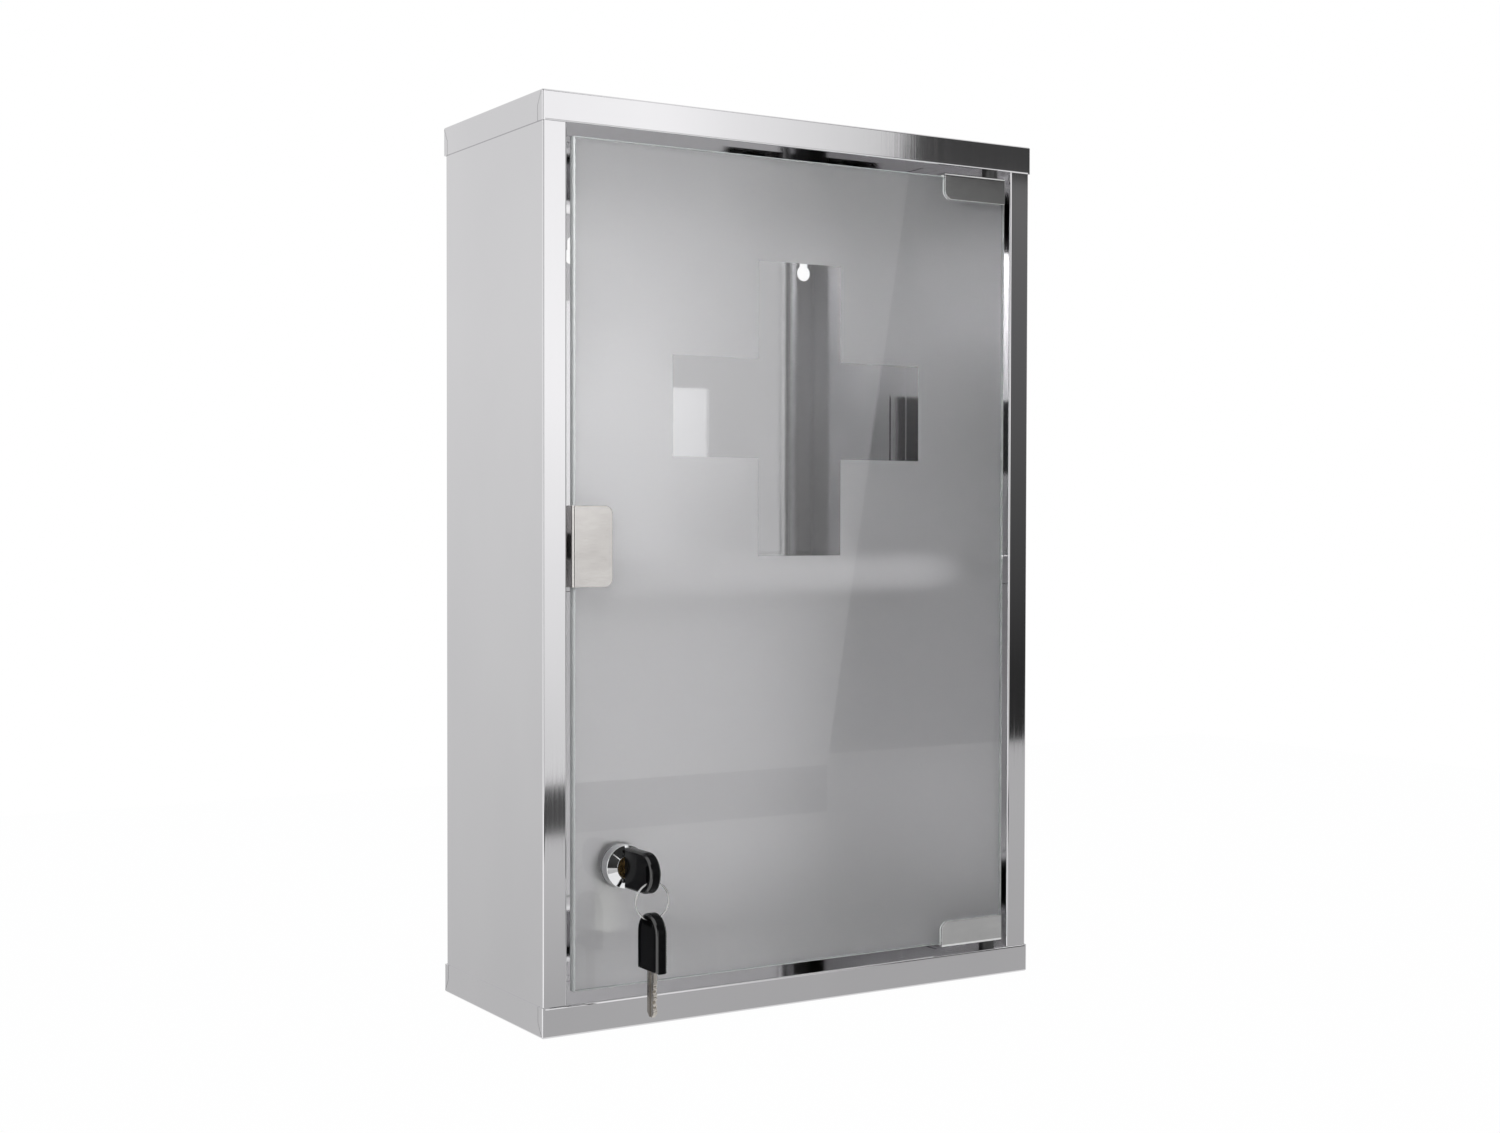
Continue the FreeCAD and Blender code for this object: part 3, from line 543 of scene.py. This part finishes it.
def seen_or_lit(tree, lit, seen, share=1.0):
    """Mix of a shader that gives light and one that camera, mirrors and glass see instead."""
    path = tree.nodes.new("ShaderNodeLightPath")
    by_eye = path.outputs["Is Camera Ray"]
    for ray in ("Is Glossy Ray", "Is Transmission Ray"):
        either = tree.nodes.new("ShaderNodeMath")
        either.operation = "MAXIMUM"
        tree.links.new(by_eye, either.inputs[0])
        tree.links.new(path.outputs[ray], either.inputs[1])
        by_eye = either.outputs["Value"]
    part = tree.nodes.new("ShaderNodeMath")
    part.operation = "MULTIPLY"
    part.inputs[1].default_value = share
    mix = tree.nodes.new("ShaderNodeMixShader")
    tree.links.new(by_eye, part.inputs[0])
    tree.links.new(part.outputs["Value"], mix.inputs["Fac"])
    tree.links.new(lit, mix.inputs[1])
    tree.links.new(seen, mix.inputs[2])
    return mix.outputs["Shader"]


finishes = {
    "polished_steel": polished_steel(),
    "satin_steel": satin_steel(),
    "bright_steel": bright_steel(),
    "clear_liner": moulded("clear_liner", (0.62, 0.63, 0.62), (0.74, 0.75, 0.74), 0.3, 0.45),
    "zinc_steel": zinc_steel(),
    "nylon": moulded("nylon", (0.72, 0.72, 0.69), (0.8, 0.8, 0.77), 0.35, 0.5),
    "black_nylon": moulded(
        "black_nylon", (0.012, 0.012, 0.012), (0.022, 0.022, 0.022), 0.35, 0.5),
    "catch_plastic": moulded("catch_plastic", (0.7, 0.7, 0.69), (0.78, 0.78, 0.77), 0.4, 0.55),
    "magnet": moulded("magnet", (0.2, 0.2, 0.21), (0.32, 0.32, 0.33), 0.3, 0.45),
    "black_rubber": moulded("black_rubber", (0.02, 0.02, 0.02), (0.04, 0.04, 0.04), 0.6, 0.8),
    "lock_chrome": chrome(),
    "lock_brass": brass(),
    "key_nickel": nickel(),
    "bow_plastic": black_plastic("bow_plastic", gloss=0.04),
}
rubbed = black_plastic("bow_rubbed", gloss=1.0)
dull = dull_steel()
clear = clear_glass()
etched = frosted_glass()
ground = ground_glass()

# Pieces

for node, slot in slot_of_node.items():
    if node == "lock_barrel":
        dressed(node, finishes[slot], angle=bezel_angle, shaped=bezel)
    elif node in eased_pieces:
        dressed(node, finishes[slot], shaped=eased)
    elif node in ("key_bow", "spare_key_bow"):
        bow = dressed(node, finishes[slot], rubbed)
        for face in bow.data.polygons:
            face.material_index = int(rim_low < abs(face.normal.x) < rim_high)
    elif node == "catch_spring":
        spring = dressed(node, finishes[slot])
    elif node != "door_glass":
        dressed(node, finishes[slot])

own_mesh(spring)

leaf_finishes = [clear, etched, ground]
leaf = dressed("door_glass", *leaf_finishes, angle=leaf_angle)
leaf_low, leaf_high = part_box("door_glass")
etch_floor = leaf_high.y - etch_depth
for face in leaf.data.polygons:
    at = face.center
    rim = min(at.x - leaf_low.x, leaf_high.x - at.x, at.z - leaf_low.z, leaf_high.z - at.z)
    if face.normal.y > square_on and abs(at.y - etch_floor) < etch_reach:
        face.material_index = leaf_finishes.index(etched)
    elif abs(face.normal.y) < square_on and rim < ground_reach:
        face.material_index = leaf_finishes.index(ground)

# Hems that close the channels behind the front flanges, from cap to cap

side_low, side_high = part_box("right_side_panel")
hem_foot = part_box("bottom_cap")[1].z
hem_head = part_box("top_cap")[0].z
for name, mirror in (("left_flange_hem", -1.0), ("right_flange_hem", 1.0)):
    spots = [
        (mirror * x, y, z)
        for x in (side_low.x, side_high.x - hem_inset)
        for y in (hem_y, hem_y + hem_sheet)
        for z in (hem_foot, hem_head)]
    work = bmesh.new()
    bmesh.ops.convex_hull(work, input=[work.verts.new(spot) for spot in spots])
    mesh = bpy.data.meshes.new(name)
    work.to_mesh(mesh)
    work.free()
    mesh.materials.append(dull)
    hem = bpy.data.objects.new(name, mesh)
    bpy.context.scene.collection.objects.link(hem)
    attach(hem, body_of_node["right_side_panel"])

# Floor

floor_z = cad_box[0][2] - floor_drop
floor_mesh = bpy.data.meshes.new("floor")
floor_mesh.from_pydata(
    [(-floor_half, -floor_half, floor_z), (floor_half, -floor_half, floor_z),
     (floor_half, floor_half, floor_z), (-floor_half, floor_half, floor_z)], [], [(0, 1, 2, 3)])
floor = bpy.data.objects.new("floor", floor_mesh)
bpy.context.scene.collection.objects.link(floor)
pale = bpy.data.materials.new("pale_floor")
pale.use_nodes = True
tree = pale.node_tree
tree.nodes.clear()
out = tree.nodes.new("ShaderNodeOutputMaterial")
matt = tree.nodes.new("ShaderNodeBsdfDiffuse")
matt.inputs["Color"].default_value = floor_colour
white = tree.nodes.new("ShaderNodeEmission")
pale_mix = seen_or_lit(tree, matt.outputs["BSDF"], white.outputs["Emission"], floor_white_share)
tree.links.new(pale_mix, out.inputs["Surface"])
floor_mesh.materials.append(pale)

# Cards

step_low = white_card_step_z - step_half
step_high = white_card_step_z + step_half
foot_edge = edge_x(white_card_foot)
card("white_card", [
    (white_card_left, card_y, white_card_foot), (foot_edge, card_y, white_card_foot),
    (edge_x(step_low), card_y, step_low), (edge_x(step_high), card_y, step_high),
    (edge_x(card_high), card_y, card_high), (dark_top_edge, card_y, card_high),
    (dark_top_edge, card_y, dark_top_foot), (white_card_left_head, card_y, dark_top_foot)],
    glow("white_card", white_upright, white_across))
dark = glow("dark_card", dark_upright)
card("dark_card", [
    (edge_x(dark_card_foot), card_y, dark_card_foot), (dark_card_right, card_y, dark_card_foot),
    (dark_card_right, card_y, card_high), (edge_x(card_high), card_y, card_high),
    (edge_x(step_high), card_y, step_high), (edge_x(step_low), card_y, step_low)],
    dark, lights=False, through=True)
card("dark_wing", rectangle(dark_card_right, card_right, dark_card_foot, card_high, card_y),
     dark, lights=False)
card("dark_top", rectangle(card_left, dark_top_edge, dark_top_foot, card_high, card_y),
     glow("dark_top", even(dark_top_level)), lights=False)
card("dark_side", [
    (card_left, card_y, white_card_foot), (white_card_left, card_y, white_card_foot),
    (white_card_left_head, card_y, dark_top_foot), (card_left, card_y, dark_top_foot)],
    glow("dark_side", dark_side_upright), lights=False, through=True)
card("dark_strip", rectangle(card_left, foot_edge, dark_strip_foot, white_card_foot, card_y),
     glow("dark_strip", even(dark_strip_level)), lights=False)
card("grey_card", rectangle(card_left, foot_edge, card_low, dark_strip_foot, card_y),
     glow("grey_card", grey_card_upright), lights=False)
card("grey_right", rectangle(foot_edge, card_right, card_low, dark_card_foot, card_y),
     glow("grey_right", grey_right_upright), lights=False)
card("backdrop", rectangle(card_left, backdrop_right, card_low, card_high, backdrop_y),
     glow("backdrop", backdrop_upright), lights=False)
for name, centre, target, half, level in soft_lights:
    facing = (target - centre).normalized()
    wide = facing.cross(Vector((0.0, 0.0, 1.0))).normalized() * half
    tall = wide.cross(facing)
    card(name, [
        centre - wide - tall, centre + wide - tall,
        centre + wide + tall, centre - wide + tall],
        glow(name, even(level)), mirrored=False)
card("key_light", [
    (key_light_x, key_light_near, key_light_foot), (key_light_x, key_light_far, key_light_foot),
    (key_light_x, key_light_far, key_light_head), (key_light_x, key_light_near, key_light_head)],
    glow("key_light", even(key_light_level)), lights=False)

# World

world = bpy.data.worlds.new("studio")
bpy.context.scene.world = world
world.use_nodes = True
tree = world.node_tree
tree.nodes.clear()
out = tree.nodes.new("ShaderNodeOutputWorld")
sky = tree.nodes.new("ShaderNodeBackground")
sky.inputs["Color"].default_value = sky_colour
plain = tree.nodes.new("ShaderNodeBackground")
plain.inputs["Color"].default_value = plain_colour
sky_mix = seen_or_lit(tree, sky.outputs["Background"], plain.outputs["Background"])
tree.links.new(sky_mix, out.inputs["Surface"])

# Camera

forward = Vector((
    math.sin(camera_yaw) * math.cos(camera_pitch),
    math.cos(camera_yaw) * math.cos(camera_pitch),
    math.sin(camera_pitch)))
level_right = Vector((math.cos(camera_yaw), -math.sin(camera_yaw), 0.0))
level_up = level_right.cross(forward)
right = math.cos(camera_roll) * level_right + math.sin(camera_roll) * level_up
up = math.cos(camera_roll) * level_up - math.sin(camera_roll) * level_right
turn = Matrix((right, up, -forward)).transposed().to_4x4()
lens = bpy.data.cameras.new("camera")
lens.sensor_fit = "HORIZONTAL"
lens.sensor_width = sensor_width
lens.lens = focal_pixels / image_width * sensor_width
lens.clip_start = camera_near
camera = bpy.data.objects.new("camera", lens)
camera.matrix_world = Matrix.Translation(camera_place) @ turn
bpy.context.scene.collection.objects.link(camera)
bpy.context.scene.camera = camera
bpy.context.scene.view_settings.view_transform = "Standard"
